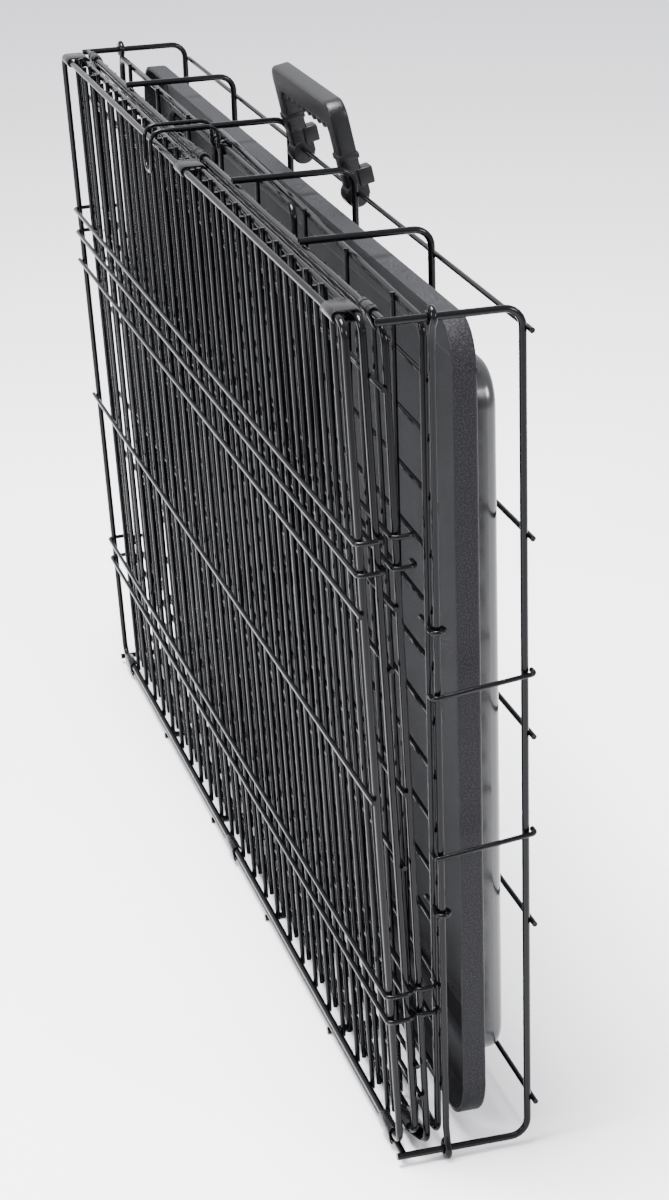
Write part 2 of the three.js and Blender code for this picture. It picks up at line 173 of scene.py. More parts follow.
def finish(name, base, grain, depth, low, high, coat=0.0, specular=0.5):
    """A coated or moulded surface with a little unevenness."""
    material = bpy.data.materials.get(name)
    if material:
        return material
    material = bpy.data.materials.new(name)
    material.use_nodes = True
    nodes, links = material.node_tree.nodes, material.node_tree.links
    shader = nodes["Principled BSDF"]
    shader.inputs["Base Color"].default_value = base
    shader.inputs["Coat Weight"].default_value = coat
    shader.inputs["Coat Roughness"].default_value = 0.12
    shader.inputs["Specular IOR Level"].default_value = specular
    group = nodes.new("ShaderNodeGroup")
    group.node_tree = uneven_coating_group()
    group.inputs["Grain size"].default_value = grain
    group.inputs["Depth"].default_value = depth
    group.inputs["Low"].default_value = low
    group.inputs["High"].default_value = high
    links.new(group.outputs["Roughness"], shader.inputs["Roughness"])
    links.new(group.outputs["Normal"], shader.inputs["Normal"])
    return material


def coated_wire():
    return finish("Gloss coated wire", colours().wire, 260, 0.1, 0.08, 0.18, specular=0.14)


def coated_sheet():
    return finish("Satin coated sheet", colours().sheet, 500, 0.2, 0.2, 0.32, specular=0.22)


def handle_plastic():
    return finish("Handle plastic", colours().handle, 900, 0.25, 0.26, 0.4, specular=0.16)


def smooth_tray_plastic():
    return finish("Smooth tray plastic", colours().tray, 60, 0.04, 0.16, 0.26, specular=0.7)


def grained_tray_plastic():
    """Leather-grained plastic with a painted highlight: the tops of its grain are painted a
    lighter colour.
    """
    fresh = bpy.data.materials.get("Grained tray plastic") is None
    material = finish("Grained tray plastic", colours().tray, 1000, 0.45, 0.4, 0.6, specular=0.1)
    if fresh:
        nodes, links = material.node_tree.nodes, material.node_tree.links
        shader = nodes["Principled BSDF"]
        group = next(n for n in nodes if n.type == "GROUP")
        # Painted highlight: the grain's tops are mixed towards the lighter highlight colour.
        mix = nodes.new("ShaderNodeMix")
        mix.data_type = "RGBA"
        mix.inputs["A"].default_value = colours().tray
        mix.inputs["B"].default_value = colours().tray_grain_highlight
        links.new(group.outputs["Highlight peaks"], mix.inputs["Factor"])
        links.new(mix.outputs["Result"], shader.inputs["Base Color"])
    return material


# ---- modelling helpers -------------------------------------------------------------------


def only(*objs):
    bpy.ops.object.select_all(action="DESELECT")
    for obj in objs:
        obj.select_set(True)
    bpy.context.view_layer.objects.active = objs[0]
    return objs[0]


def settle(obj):
    only(obj)
    bpy.ops.object.transform_apply(location=True, rotation=True, scale=True)
    return obj


def wire(points, radius, bend=0.0, sides=10):
    """A round wire through these points, with its corners bent to that radius (millimetres)."""
    bpy.ops.object.select_all(action="DESELECT")
    bpy.ops.mesh.primitive_plane_add(size=MM, location=points[0])
    obj = bpy.context.object
    bpy.ops.object.mode_set(mode="EDIT")
    bpy.ops.mesh.select_mode(type="VERT")
    bpy.ops.mesh.select_all(action="SELECT")
    bpy.ops.mesh.merge(type="CENTER")
    for before, after in zip(points, points[1:]):
        bpy.ops.mesh.extrude_vertices_move(TRANSFORM_OT_translate={"value": after - before})
    bpy.ops.mesh.select_all(action="DESELECT")
    bpy.ops.object.mode_set(mode="OBJECT")
    if bend:
        corners = {}
        for i in range(1, len(points) - 1):
            into = (points[i] - points[i - 1]).normalized()
            away = (points[i + 1] - points[i]).normalized()
            corners[i] = into.angle(away)
        for i, angle in corners.items():
            if angle < 0.02:
                continue
            near = min(
                range(len(obj.data.vertices)),
                key=lambda k: (obj.matrix_world @ obj.data.vertices[k].co - points[i]).length,
            )
            for vert in obj.data.vertices:
                vert.select = vert.index == near
            bpy.ops.object.mode_set(mode="EDIT")
            bpy.ops.mesh.select_mode(type="VERT")
            bpy.ops.mesh.bevel(
                offset=bend * MM * math.tan(angle / 2), offset_type="OFFSET",
                segments=max(3, round(angle / math.radians(15))), affect="VERTICES",
            )
            bpy.ops.mesh.select_all(action="DESELECT")
            bpy.ops.object.mode_set(mode="OBJECT")
    return round_out(obj, radius, sides)


def round_out(obj, radius, sides):
    """Turns a line of edges into a round wire."""
    only(obj)
    bpy.ops.object.convert(target="CURVE")
    obj = bpy.context.object
    obj.data.dimensions = "3D"
    obj.data.bevel_depth = radius * MM
    obj.data.bevel_resolution = (sides - 4) // 2
    obj.data.use_fill_caps = True
    bpy.ops.object.convert(target="MESH")
    return settle(bpy.context.object)


def straight(start, end, radius, sides=10):
    return wire([start, end], radius, sides=sides)


def row(obj, count, step):
    """obj repeated count times, each moved on by step, in metres."""
    only(obj)
    array = obj.modifiers.new("Row", "ARRAY")
    array.use_relative_offset = False
    array.use_constant_offset = True
    array.constant_offset_displace = step
    array.count = count
    bpy.ops.object.modifier_apply(modifier=array.name)
    return obj


def join(objs):
    only(*objs)
    if len(objs) > 1:
        bpy.ops.object.join()
    return settle(bpy.context.object)


def ring_wire(centre, axis, radius, wire_radius, sides=8, around=20):
    """A closed ring of wire round an axis.  Sizes are in millimetres."""
    bpy.ops.object.select_all(action="DESELECT")
    turn = Vector((0, 0, 1)).rotation_difference(Vector(axis)).to_euler()
    bpy.ops.mesh.primitive_torus_add(
        location=centre, rotation=turn, major_radius=radius * MM, minor_radius=wire_radius * MM,
        major_segments=around, minor_segments=sides,
    )
    return settle(bpy.context.object)


def smooth(obj, angle=40):
    only(obj)
    bpy.ops.object.shade_smooth_by_angle(angle=math.radians(angle))
    return obj


def piece(obj, name, body, nodes, slot, *materials, angle=50):
    """Names a finished piece, paints it and puts it on its body in place of these CAD nodes."""
    obj.name = name
    obj.data.name = name
    obj.data.materials.clear()
    for material in materials:
        obj.data.materials.append(material)
    smooth(obj, angle)
    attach(obj, body)
    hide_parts(*nodes)
    return obj


# ---- panels ------------------------------------------------------------------------------


class Slope:
    """A folding panel's own flat frame: along X, out through it, and up it."""

    def __init__(self, lower, upper):
        self.lower = Vector((0, *lower))
        run = Vector((0, *upper)) - self.lower
        self.height = run.length
        self.up = run.normalized()
        self.out = Vector((0, self.up.z, -self.up.y))

    def at(self, x, out, up):
        place = self.lower + self.out * out + self.up * up
        return at(x, place.y, place.z)

    def up_to(self, z):
        """How far up the panel its plane reaches this height."""
        return (z - self.lower.z) / self.up.z


WELD = 3.7          # frame wire's axis to the axis of a wire welded across it
INNER = Slope((19.4, 0), (3, WIDTH - 7))
TOP = Slope((11, 8.8), (-11, WIDTH))
OUTER = Slope((-1, 6.5), (-23, WIDTH))
INNER_X = 448
TOP_X = 448
OUTER_X = 452
SPACES = 24
PITCH = 2 * INNER_X / SPACES
HOOK_LEVELS = (444, 423, 123, 104)
PLAIN_LEVELS = (396, 267)
TOP_LEVELS = (540, 345, 205, 55)
DOOR_X = 180
DOOR_LEVELS = (56, 526)
BOLT_Z = 313


def frame_r():
    return wires().frame_radius / MM


def thin_r():
    return wires().thin_radius / MM


def corner_r():
    return wires().corner / MM


def panel_frame(panel, half, low=0.0, high=None):
    """The bent rectangle of heavy wire round a panel."""
    high = panel.height if high is None else high
    spots = [(0, low), (half, low), (half, high), (-half, high), (-half, low), (-0.4, low)]
    return wire([panel.at(x, 0, up) for x, up in spots], frame_r(), corner_r())


def uprights(panel, side, first, count, low, high):
    """A row of thin wires up the panel, one pitch apart."""
    x = -INNER_X + first * PITCH
    one = straight(
        panel.at(x, side * WELD, low), panel.at(x, side * WELD, high), thin_r()
    )
    return row(one, count, (PITCH * MM, 0, 0))


def long_wire(panel, z, side, left, right):
    up = panel.up_to(z)
    return straight(panel.at(left, side * WELD, up), panel.at(right, side * WELD, up), thin_r())


def hooked_wire(panel, z, side, inner, half, end, depth):
    """A long wire whose end hooks round the panel's end wire."""
    up = panel.up_to(z)
    turn = half + frame_r() + thin_r() + 0.8
    back = side * WELD - side * depth
    spots = [(inner, side * WELD), (turn, side * WELD), (turn, back), (turn - 11, back)]
    return wire([panel.at(end * x, out, up) for x, out in spots], thin_r(), 4.6)


class CRATE_OT_inner_side(bpy.types.Operator):
    """Bend and weld the inner side panel, its door and the door's slide bolt"""

    bl_idname = "crate.inner_side"
    bl_label = "Inner side panel"

    def execute(self, context):
        nub = frame_r() + 0.6
        low, high = (INNER.up_to(z) for z in DOOR_LEVELS)
        sill, head = low - 16, high + 14
        door_first = next(i for i in range(1, SPACES) if abs(-INNER_X + i * PITCH) < DOOR_X)
        door_count = sum(abs(-INNER_X + i * PITCH) < DOOR_X for i in range(1, SPACES))
        after = door_first + door_count
        parts = [
            panel_frame(INNER, INNER_X),
            uprights(INNER, 1, 1, door_first - 1, -nub, INNER.height + nub),
            uprights(INNER, 1, after, SPACES - after, -nub, INNER.height + nub),
            uprights(INNER, 1, door_first, door_count, -nub, sill + 6),
            uprights(INNER, 1, door_first, door_count, head - 6, INNER.height + nub),
        ]
        for up in (sill, head):
            parts.append(long_wire(INNER, INNER.lower.z + up * INNER.up.z, -1,
                                   -INNER_X - 5, INNER_X + 5))
        for end in BOTH:
            for z in HOOK_LEVELS:
                parts.append(hooked_wire(INNER, z, -1, DOOR_X + 4, INNER_X, end, 15))
            for z in PLAIN_LEVELS:
                left, right = sorted((end * (DOOR_X + 4), end * (INNER_X + 5)))
                parts.append(long_wire(INNER, z, -1, left, right))
        piece(join(parts), "inner_side_grille", "inner_side", ["side_panel_1"],
              "coated_wire", coated_wire())

        door = [
            panel_frame(INNER, DOOR_X, low, high),
            uprights(INNER, 1, door_first, door_count, low - nub, high + nub),
        ]
        for z in HOOK_LEVELS + PLAIN_LEVELS:
            door.append(long_wire(INNER, z, -1, -DOOR_X - 2, DOOR_X + 2))
        for up in (low + 70, high - 70):
            door.append(ring_wire(INNER.at(-DOOR_X - 3.4, 1.8, up), INNER.up, 5.6, thin_r() - 0.1))
        for x in (DOOR_X - 30, DOOR_X - 8):
            door.append(ring_wire(INNER.at(x, -WELD - 0.6, INNER.up_to(BOLT_Z)), (1, 0, 0),
                                  3.6, thin_r() - 0.3))
        piece(join(door), "side_door_grille", "inner_side", ["side_door"],
              "coated_wire", coated_wire())

        up = INNER.up_to(BOLT_Z)
        out = -WELD - 1
        spots = [(DOOR_X - 42, up), (DOOR_X + 18, up), (DOOR_X + 18, up + 26),
                 (DOOR_X + 2, up + 26), (DOOR_X + 2, up + 18)]
        bolt = wire([INNER.at(x, out, rise) for x, rise in spots], 1.7, 6)
        piece(bolt, "side_door_slide_bolt", "door_bolt", ["side_door_bolt"],
              "coated_wire", coated_wire())
        return {"FINISHED"}


class CRATE_OT_top_panel(bpy.types.Operator):
    """Bend and weld the top panel"""

    bl_idname = "crate.top_panel"
    bl_label = "Top panel"

    def execute(self, context):
        parts = [
            panel_frame(TOP, TOP_X),
            uprights(TOP, -1, 1, SPACES - 1, -frame_r(), TOP.height + 4),
        ]
        for z in TOP_LEVELS:
            parts.append(long_wire(TOP, z + TOP.lower.z, 1, -TOP_X - 4, TOP_X + 4))
        piece(join(parts), "top_grille", "top", ["top_panel"], "coated_wire", coated_wire())
        return {"FINISHED"}


class CRATE_OT_outer_side(bpy.types.Operator):
    """Bend and weld the outer side panel"""

    bl_idname = "crate.outer_side"
    bl_label = "Outer side panel"

    def execute(self, context):
        nub = frame_r() + 0.6
        parts = [
            panel_frame(OUTER, OUTER_X),
            uprights(OUTER, 1, 1, SPACES - 1, -nub, OUTER.height + nub),
        ]
        for z in HOOK_LEVELS:
            for end in BOTH:
                parts.append(hooked_wire(OUTER, z, -1, -1, OUTER_X, end, 18))
        for z in PLAIN_LEVELS:
            parts.append(long_wire(OUTER, z, -1, -OUTER_X - 6, OUTER_X + 6))
        piece(join(parts), "outer_side_grille", "outer_side", ["side_panel_2"],
              "coated_wire", coated_wire())
        return {"FINISHED"}


# ---- hinge clips -------------------------------------------------------------------------

CLIP_X = {"near": 425, "middle": 0, "far": -425}


def sleeve(lower, upper, x, size, mouth=None):
    """A sheet bent round two wires that run along X: lower and upper are (y, z) places."""
    inner = frame_r() + wires().clearance / MM
    wall = sheet().thickness / MM
    a, b = Vector((0, *lower)), Vector((0, *upper))
    along = (b - a).normalized()
    across = Vector((0, -along.z, along.y))
    turn = 8
    outline = []
    for centre, start in ((b, -90), (a, 90)):
        for i in range(turn + 1):
            angle = math.radians(start + 180 * i / turn)
            outline.append(centre + (along * math.cos(angle) + across * math.sin(angle))
                           * (inner + wall / 2))
    if mouth:
        start = next(i for i, p in enumerate(outline) if mouth(p))
        outline = [p for p in outline[start:] + outline[:start] if not mouth(p)]
    else:
        outline.append(outline[0])
    bpy.ops.object.select_all(action="DESELECT")
    bpy.ops.mesh.primitive_plane_add(size=MM, location=(0, 0, 0))
    obj = bpy.context.object
    bpy.ops.object.mode_set(mode="EDIT")
    bpy.ops.mesh.select_mode(type="VERT")
    bpy.ops.mesh.select_all(action="SELECT")
    bpy.ops.mesh.merge(type="CENTER")
    places = [at(x - size / 2, p.y, p.z) for p in outline]
    bpy.ops.transform.translate(value=places[0])
    for before, after in zip(places, places[1:]):
        bpy.ops.mesh.extrude_vertices_move(TRANSFORM_OT_translate={"value": after - before})
    bpy.ops.mesh.select_all(action="SELECT")
    if not mouth:
        bpy.ops.mesh.remove_doubles(threshold=0.02 * MM)
        bpy.ops.mesh.select_all(action="SELECT")
    bpy.ops.mesh.extrude_region_move(TRANSFORM_OT_translate={"value": (size * MM, 0, 0)})
    bpy.ops.mesh.select_all(action="SELECT")
    bpy.ops.mesh.normals_make_consistent(inside=False)
    bpy.ops.object.mode_set(mode="OBJECT")
    settle(obj)
    only(obj)
    thick = obj.modifiers.new("Sheet", "SOLIDIFY")
    thick.thickness = sheet().thickness
    thick.offset = 0
    bpy.ops.object.modifier_apply(modifier=thick.name)
    edge = obj.modifiers.new("Edge", "BEVEL")
    edge.width = 0.25 * MM
    edge.segments = 2
    edge.limit_method = "ANGLE"
    edge.angle_limit = math.radians(50)
    bpy.ops.object.modifier_apply(modifier=edge.name)
    return obj


def add_clip(name, body, node, lower, upper, x, beads=False, mouth=None):
    size = sheet().clip_length / MM
    clip = sleeve(lower, upper, x, size, mouth)
    parts = [clip]
    if beads:
        for shift in (-0.27, 0.27):
            parts.append(sleeve_bead(lower, upper, x + shift * size))
    piece(join(parts), name, body, [node], "clip_sheet", coated_sheet(), angle=35)


def sleeve_bead(lower, upper, x):
    """A raised bead round a sleeve."""
    reach = frame_r() + (wires().clearance + sheet().thickness) / MM
    a, b = Vector((0, *lower)), Vector((0, *upper))
    along = (b - a).normalized()
    across = Vector((0, -along.z, along.y))
    places = []
    for centre, start in ((b, -90), (a, 90)):
        for i in range(7):
            angle = math.radians(start + 30 * i)
            places.append(centre + (along * math.cos(angle) + across * math.sin(angle)) * reach)
    places.append(places[0])
    return wire([at(x, p.y, p.z) for p in places], 0.5, sides=6)


class CRATE_OT_hinge_clips(bpy.types.Operator):
    """Wrap the sheet-metal hinge clips round their wires"""

    bl_idname = "crate.hinge_clips"
    bl_label = "Hinge clips"

    def execute(self, context):
        lip_top, lip_low = (0, WIDTH), (0, 0)
        inner_low, inner_top = INNER.lower.yz, (3, WIDTH - 7)
        top_low, top_top = TOP.lower.yz, (-11, WIDTH)
        outer_low, outer_top = OUTER.lower.yz, (-23, WIDTH)
        half = PITCH / 2
        for place, x in CLIP_X.items():
            shift = 0 if x else half
            add_clip(f"lip_clip_{place}", "inner_side", f"side_1_lip_clip_{place}",
                     lip_top, inner_top, x - shift, beads=True)
            add_clip(f"inner_top_clip_{place}", "top", f"side_1_top_clip_{place}",
                     inner_low, top_low, x + shift)
            add_clip(f"top_outer_clip_{place}", "outer_side", f"side_2_top_clip_{place}",
                     top_top, outer_top, x + shift)
            add_clip(f"snap_clip_{place}", "outer_side", f"side_2_lip_clip_{place}",
                     lip_low, outer_low, x - shift, mouth=lambda p: p.y > -1.2 and p.z < 2.8)
        return {"FINISHED"}


# ---- floor -------------------------------------------------------------------------------

FLOOR_Y = 88
BAYS = 5


def trough(x, start_y, low, high):
    spots = [(start_y, low), (FLOOR_Y, low), (FLOOR_Y, high), (start_y, high)]
    return wire([at(x, y, z) for y, z in spots], frame_r(), corner_r() + 2)


class CRATE_OT_floor(bpy.types.Operator):
    """Bend the floor's lip wires, end frames, cross wires and long wires"""

    bl_idname = "crate.floor"
    bl_label = "Floor"

    def execute(self, context):
        reach = END_X - frame_r() + 0.3
        for name, z in (("upper", WIDTH), ("lower", 0)):
            lip = straight(at(-reach, 0, z), at(reach, 0, z), frame_r(), sides=12)
            piece(lip, f"lip_{name}", "floor", [f"lip_wire_{name}"], "coated_wire",
                  coated_wire())
        for name, end in (("near", 1), ("far", -1)):
            bent = trough(end * END_X, -5, 0, WIDTH)
            piece(bent, f"floor_end_{name}", "floor", [f"end_frame_{name}"], "coated_wire",
                  coated_wire())
        saddle = 2 * frame_r() + 0.1
        for i in range(1, BAYS):
            bent = trough(END_X - i * LENGTH / BAYS, -3, -saddle, WIDTH + saddle)
            piece(bent, f"cross_wire_{i}", "floor", [f"floor_cross_wire_{i}"], "coated_wire",
                  coated_wire())
        for i in range(1, 6):
            node = f"floor_long_wire_{i}"
            place = middle_of(node)
            z = (place.z - LIP.z) / MM
            run = straight(at(-END_X - 5, FLOOR_WIRE_Y - 0.4, z),
                           at(END_X + 5, FLOOR_WIRE_Y - 0.4, z), thin_r() + 0.15, sides=12)
            piece(run, f"long_wire_{i}", "floor", [node], "coated_wire", coated_wire())
        return {"FINISHED"}


# ---- end bars and end panels ---------------------------------------------------------------

END_BAR_Y = 30
EYE_R = 5.3
EYE_NECK = 17
PANEL_Y = 28
PANEL_X = 445
PANEL_TIP_X = -144
PANEL_LEVELS = (5, WIDTH - 5)
PANEL_ROWS = 15
PANEL_CROSSES = (392, 280, 168, 56, -56)
PANEL_DIP = 11.5
BAR_LOOP_LEVELS = (380, 180)


class CRATE_OT_end_bars(bpy.types.Operator):
    """Bend the end bars, each with a teardrop eyelet at both ends"""

    bl_idname = "crate.end_bars"
    bl_label = "End bars"

    def execute(self, context):
        around = [math.radians(330 - 290 * i / 12) for i in range(13)]
        for name, end in (("near", 1), ("far", -1)):
            x = end * END_X
            low, high = (
                [at(x + EYE_R * math.sin(a), END_BAR_Y, level + sign * EYE_R * math.cos(a))
                 for a in around]
                for level, sign in ((0, 1), (WIDTH, -1))
            )
            necks = [at(x, END_BAR_Y, EYE_NECK), at(x, END_BAR_Y, WIDTH - EYE_NECK)]
            bar = wire([*low, *necks, *reversed(high)], frame_r() - 0.1, sides=12)
            piece(bar, f"end_bar_wire_{name}", "floor", [f"end_bar_{name}"], "coated_wire",
                  coated_wire())
        return {"FINISHED"}


class CRATE_OT_end_panels(bpy.types.Operator):
    """Bend and weld the two end panels, one lying over the other"""

    bl_idname = "crate.end_panels"
    bl_label = "End panels"

    def execute(self, context):
        self.panel("far", -1, PANEL_CROSSES, 0)
        shown = [x for x in PANEL_CROSSES if x > -PANEL_TIP_X]
        self.panel("near", 1, shown, PANEL_DIP / (PANEL_X - PANEL_TIP_X))
        return {"FINISHED"}

    def panel(self, name, side, crosses, slant):
        low, high = PANEL_LEVELS
        nub = frame_r() + 0.6

        def spot(x, out, z):
            return at(side * x, PANEL_Y + out + (PANEL_X - x) * slant, z)

        middle = (PANEL_X + PANEL_TIP_X) / 2
        frame_spots = [(middle, low), (PANEL_X, low), (PANEL_X, high), (PANEL_TIP_X, high),
                       (PANEL_TIP_X, low), (middle - 0.4, low)]
        parts = [wire([spot(x, 0, z) for x, z in frame_spots], frame_r(), corner_r())]
        step = (high - low) / PANEL_ROWS
        one = straight(spot(PANEL_X + nub, WELD, low + step),
                       spot(PANEL_TIP_X - nub, WELD, low + step), thin_r())
        parts.append(row(one, PANEL_ROWS - 1, (0, 0, step * MM)))
        for x in crosses:
            parts.append(straight(spot(x, -WELD, low - 4), spot(x, -WELD, high + 4), thin_r()))
        loop_r = frame_r() + thin_r() + 0.5
        for z in BAR_LOOP_LEVELS:
            centre = at(side * END_X, END_BAR_Y, z)
            turns = [math.radians(-150 + 30 * i) for i in range(11)]
            loop = [centre + Vector((side * math.cos(t), math.sin(t), 0)) * loop_r * MM
                    for t in turns]
            tail = spot(PANEL_X - 14, END_BAR_Y - PANEL_Y - 3, z)
            parts.append(wire([tail] + loop, thin_r()))
        piece(join(parts), f"end_panel_grille_{name}", "floor", [f"end_panel_{name}"],
              "coated_wire", coated_wire())


# ---- tray --------------------------------------------------------------------------------


def select_faces(obj, test):
    """Selects, in edit mode, the faces whose centre and normal pass the test."""
    bpy.ops.object.mode_set(mode="EDIT")
    bpy.ops.mesh.select_mode(type="FACE")
    bpy.ops.mesh.select_all(action="DESELECT")
    bpy.ops.object.mode_set(mode="OBJECT")
    for face in obj.data.polygons:
        face.select = test(obj.matrix_world @ face.center, face.normal)
    bpy.ops.object.mode_set(mode="EDIT")


def select_edges(obj, test):
    """Selects, in edit mode, the edges whose two ends pass the test."""
    bpy.ops.object.mode_set(mode="EDIT")
    bpy.ops.mesh.select_mode(type="EDGE")
    bpy.ops.mesh.select_all(action="DESELECT")
    bpy.ops.object.mode_set(mode="OBJECT")
    verts = obj.data.vertices
    for edge in obj.data.edges:
        a, b = (obj.matrix_world @ verts[i].co for i in edge.vertices)
        edge.select = test(a, b)
    bpy.ops.object.mode_set(mode="EDIT")


def block(low, high):
    """A box between two corners."""
    bpy.ops.object.select_all(action="DESELECT")
    bpy.ops.mesh.primitive_cube_add(size=1, location=(low + high) / 2)
    obj = bpy.context.object
    obj.scale = high - low
    return settle(obj)


class CRATE_OT_tray(bpy.types.Operator):
    """Mould the plastic tray with its grained rim and raised base"""

    bl_idname = "crate.tray"
    bl_label = "Tray"

    def execute(self, context):
        low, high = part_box("tray")
        step_x, step_z = 20 * MM, 36 * MM
        rim = 16.5 * MM
        base_low = Vector((low.x + step_x, low.y + rim, low.z + step_z))
        base_high = Vector((high.x - step_x, high.y, high.z - step_z))
        obj = block(base_low, base_high)
        select_edges(obj, lambda a, b: abs(a.y - b.y) > MM)
        bpy.ops.mesh.bevel(offset=28 * MM, offset_type="OFFSET", segments=8, affect="EDGES")
        select_faces(obj, lambda c, n: n.y < -0.9)
        size, outer = base_high - base_low, high - low
        bpy.ops.mesh.extrude_region_move(TRANSFORM_OT_translate={"value": (0, 0, 0)})
        bpy.ops.transform.resize(value=(outer.x / size.x, 1, outer.z / size.z),
                                 center_override=(base_low + base_high) / 2)
        bpy.ops.mesh.extrude_region_move(TRANSFORM_OT_translate={"value": (0, -rim, 0)})
        bpy.ops.mesh.delete(type="FACE")
        near = 0.2 * MM
        for level, width in ((high.y, 8), (low.y + rim, 3)):
            select_edges(obj, lambda a, b: abs(a.y - level) < near and abs(b.y - level) < near)
            bpy.ops.mesh.bevel(offset=width * MM, offset_type="OFFSET", segments=4,
                               affect="EDGES")
        bpy.ops.object.mode_set(mode="OBJECT")
        only(obj)
        shell = obj.modifiers.new("Wall", "SOLIDIFY")
        shell.thickness = sheet().tray_wall
        shell.offset = -1
        bpy.ops.object.modifier_apply(modifier=shell.name)
        piece(obj, "plastic_tray", "tray", ["tray"], "tray_plastic",
              grained_tray_plastic(), smooth_tray_plastic(), angle=35)
        edge = low.y + rim + 0.8 * MM
        for face in obj.data.polygons:
            centre = face.center
            face.material_index = int(centre.y > edge and (face.normal.y > -0.2))
        return {"FINISHED"}


# ---- pan stop and closure hook -------------------------------------------------------------

STOP_LEVELS = (222, 335)
STOP_RISE = 8
HOOK_EYES = (-82, -60)
HOOK_TOP = 596
HOOK_OUT_Y = -29.5
HOOK_FOOT_Z = 564


class CRATE_OT_pan_stop(bpy.types.Operator):
    """Bend the pan stop that swings on the near end bar"""

    bl_idname = "crate.pan_stop"
    bl_label = "Pan stop"

    def execute(self, context):
        turn = thin_r() + frame_r() + 0.6
        tip = FLOOR_Y - END_BAR_Y + turn + 0.5
        low, high = STOP_LEVELS
        spots = [(-2.5, tip, low + STOP_RISE), (turn, tip, low + STOP_RISE),
                 (turn, -turn, low), (-turn + 0.8, -turn, low), (-turn + 0.8, -turn, high),
                 (turn, -turn, high), (turn, tip, high + STOP_RISE), (-2.5, tip, high + STOP_RISE)]
        path = [at(END_X + x, END_BAR_Y + y, z) for x, y, z in spots]
        piece(wire(path, thin_r(), 3.2), "pan_stop_wire", "pan_stop", ["pan_stop"],
              "coated_wire", coated_wire())
        return {"FINISHED"}


class CRATE_OT_closure_hook(bpy.types.Operator):
    """Bend the hook that closes over the folded panels' edges"""

    bl_idname = "crate.closure_hook"
    bl_label = "Closure hook"

    def execute(self, context):
        radius = wires().hook_radius / MM
        eye = frame_r() + radius + 0.4
        side_z = WIDTH - 5
        left, right = HOOK_EYES
        leg = [(PANEL_Y - eye, side_z + 1), (PANEL_Y - eye, HOOK_TOP), (HOOK_OUT_Y, HOOK_TOP),
               (HOOK_OUT_Y, HOOK_FOOT_Z)]
        path = [at(left, y, z) for y, z in leg] + [at(right, y, z) for y, z in reversed(leg)]
        parts = [wire(path, radius, 9)]
        for x in HOOK_EYES:
            parts.append(ring_wire(at(x, PANEL_Y, side_z), (1, 0, 0), eye, radius))
        piece(join(parts), "closure_hook_wire", "closure_hook", ["closure_hook"],
              "coated_wire", coated_wire())
        return {"FINISHED"}


# ---- carrying handle -----------------------------------------------------------------------

HANDLE_FEET = (-76, 74)
HANDLE_ARM = 17
HANDLE_THICK = 14
HANDLE_GRIP = 68
HANDLE_LEAN = math.radians(12)


